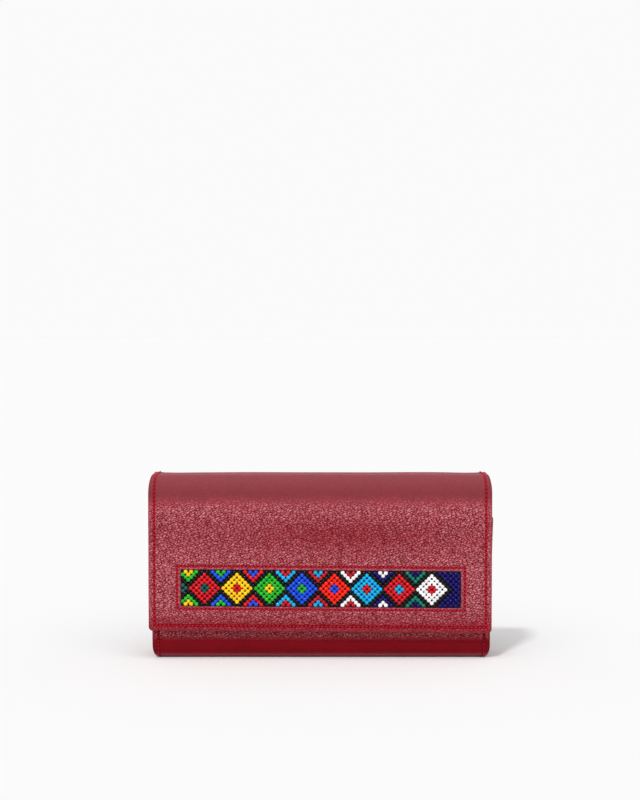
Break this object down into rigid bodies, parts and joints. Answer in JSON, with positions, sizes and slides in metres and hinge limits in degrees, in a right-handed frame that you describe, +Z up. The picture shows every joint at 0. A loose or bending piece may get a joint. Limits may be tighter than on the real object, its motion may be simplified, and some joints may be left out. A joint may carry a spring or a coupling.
{
  "type": "beaded wallet",
  "caption": "Long leather wallet with a fold-over flap, a woven bead panel set in a window of the flap, card slots and a zipped coin pocket.",
  "frame": {"origin": "centre of the closed wallet's outline, on the surface that it stands on", "axes": "+X along the wallet's length, to the right seen from the front; -Y is the front with the beads; +Z up, towards the fold"},
  "size_m": [0.195, 0.0338, 0.105],
  "materials": {
    "red_leather": "pebbled grain, soft sheen",
    "lining": "plain woven lining, matte",
    "card_leather": "smooth thin leather, satin",
    "zip_tape": "woven tape, matte",
    "zip_brass": "polished",
    "snap_nickel": "nickel plated, satin",
    "stiffener_board": "pressed fibre board, matte",
    "glass_beads": "opaque glass seed beads in many colours, glossy"
  },
  "bodies": {
    "pouch": {"pouch_leather": "red_leather", "pouch_lining": "lining", "gusset_left": "red_leather", "gusset_right": "red_leather", "card_panel": "card_leather", "card_slot_1": "card_leather", "card_slot_2": "card_leather", "card_slot_3": "card_leather", "card_slot_4": "card_leather", "coin_pocket": "card_leather", "zip_tape_front": "zip_tape", "zip_tape_back": "zip_tape", "zip_teeth_front": "zip_brass", "zip_teeth_back": "zip_brass", "zip_stop_left": "zip_brass", "zip_stop_right": "zip_brass", "snap_socket": "snap_nickel"},
    "spine": {"spine_leather": "red_leather", "spine_lining": "lining"},
    "flap": {"flap_leather": "red_leather", "flap_stiffener": "stiffener_board", "flap_lining": "lining", "bead_panel": "glass_beads", "snap_stud": "snap_nickel"},
    "slider": {"zip_slider": "zip_brass"},
    "pull": {"zip_pull": "zip_brass"}
  },
  "joints": [
    {"name": "back_fold", "type": "hinge", "parent": "pouch", "child": "spine", "pos_m": [0, 0.01439, 0.10252], "axis": [-1, 0, 0], "range_deg": [0, 90]},
    {"name": "front_fold", "type": "hinge", "parent": "spine", "child": "flap", "pos_m": [0, -0.01362, 0.10209], "axis": [-1, 0, 0], "range_deg": [0, 90]},
    {"name": "zip_slide", "type": "slide", "parent": "pouch", "child": "slider", "axis": [-1, 0, 0], "range_m": [0, 0.116]},
    {"name": "pull_swing", "type": "hinge", "parent": "slider", "child": "pull", "pos_m": [0.058, 0.00082, 0.07895], "axis": [0, -1, 0], "range_deg": [0, 170]}
  ],
  "couplings": [
    {"joint": "front_fold", "follows": "back_fold", "ratio": 1}
  ]
}
